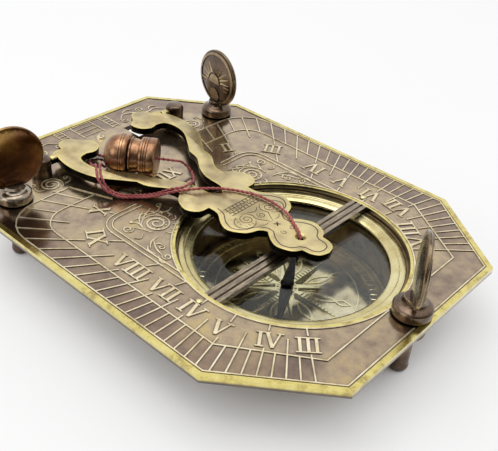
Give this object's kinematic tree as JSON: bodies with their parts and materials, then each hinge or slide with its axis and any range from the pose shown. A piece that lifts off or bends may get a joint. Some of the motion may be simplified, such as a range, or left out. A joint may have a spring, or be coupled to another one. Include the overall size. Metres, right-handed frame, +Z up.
{
  "type": "pendulum_sundial_compass",
  "caption": "Octagonal brass sundial plate on levelling thumbscrews, with a sunk compass, a folding lyre bracket and a plumb bob on a cord",
  "frame": {"origin": "On the table, under the middle of the dial plate, between the three foot tips", "axes": "+X to the east side of the dial, +Y to its noon side, +Z up out of the dial's face"},
  "size_m": [0.1, 0.13, 0.0389],
  "materials": {
    "aged_brass": "satin",
    "pale_brass": "satin",
    "bright_brass": "polished",
    "card_brass": "matte",
    "dark_bronze": "satin",
    "copper_brown": "satin",
    "blued_steel": "satin",
    "glass": "polished",
    "red_cord": "matte"
  },
  "bodies": {
    "base": {"dial_plate": "aged_brass", "hour_lines": "pale_brass", "plumb_index": "bright_brass", "hinge_post_west": "dark_bronze", "hinge_post_east": "dark_bronze", "hinge_pin_west": "bright_brass", "hinge_pin_east": "bright_brass", "foot_bushes": "aged_brass", "compass_bowl": "bright_brass", "bowl_screws": "bright_brass", "compass_card": "card_brass", "needle_pivot": "bright_brass", "compass_glass": "glass", "bezel_ring": "bright_brass"},
    "bracket": {"bracket": "bright_brass", "cord": "red_cord", "cord_knot": "red_cord"},
    "bob": {"bob_body": "copper_brown", "bob_cap": "copper_brown"},
    "needle": {"needle": "blued_steel", "needle_cap": "blued_steel"},
    "shank_ne": {"foot_screw_ne": "dark_bronze"},
    "shank_nw": {"foot_screw_nw": "dark_bronze"},
    "shank_s": {"foot_screw_s": "dark_bronze"},
    "head_ne": {"collar_ne": "dark_bronze", "thumb_disc_ne": "dark_bronze"},
    "head_nw": {"collar_nw": "dark_bronze", "thumb_disc_nw": "dark_bronze"},
    "head_s": {"collar_s": "dark_bronze", "thumb_disc_s": "dark_bronze"}
  },
  "joints": [
    {"name": "bracket_fold", "type": "hinge", "parent": "base", "child": "bracket", "pos_m": [0, 0.0467, 0.0201], "axis": [-1, 0, 0], "range_deg": [0, 90]},
    {"name": "bob_swing", "type": "hinge", "parent": "bracket", "child": "bob", "pos_m": [0, -0.0266, 0.0201], "axis": [0, 0, -1], "range_deg": [0, 10], "deforming": ["cord"]},
    {"name": "needle_turn", "type": "hinge", "parent": "base", "child": "needle", "pos_m": [0, -0.0244, 0.005], "axis": [0, 0, 1], "continuous": true},
    {"name": "screw_ne_rise", "type": "slide", "parent": "base", "child": "shank_ne", "axis": [0, 0, 1], "range_m": [0, 0.004]},
    {"name": "screw_ne_turn", "type": "hinge", "parent": "shank_ne", "child": "head_ne", "pos_m": [0.0395, 0.0404, 0.02], "axis": [0, 0, 1], "range_deg": [0, 1440]},
    {"name": "screw_nw_rise", "type": "slide", "parent": "base", "child": "shank_nw", "axis": [0, 0, 1], "range_m": [0, 0.004]},
    {"name": "screw_nw_turn", "type": "hinge", "parent": "shank_nw", "child": "head_nw", "pos_m": [-0.0395, 0.0404, 0.02], "axis": [0, 0, 1], "range_deg": [0, 1440]},
    {"name": "screw_s_rise", "type": "slide", "parent": "base", "child": "shank_s", "axis": [0, 0, 1], "range_m": [0, 0.004]},
    {"name": "screw_s_turn", "type": "hinge", "parent": "shank_s", "child": "head_s", "pos_m": [0, -0.0599, 0.02], "axis": [0, 0, 1], "range_deg": [0, 1440]}
  ],
  "couplings": [
    {"joint": "screw_ne_turn", "follows": "screw_ne_rise", "rad_per_m": 6283.2},
    {"joint": "screw_nw_turn", "follows": "screw_nw_rise", "rad_per_m": 6283.2},
    {"joint": "screw_s_turn", "follows": "screw_s_rise", "rad_per_m": 6283.2}
  ]
}
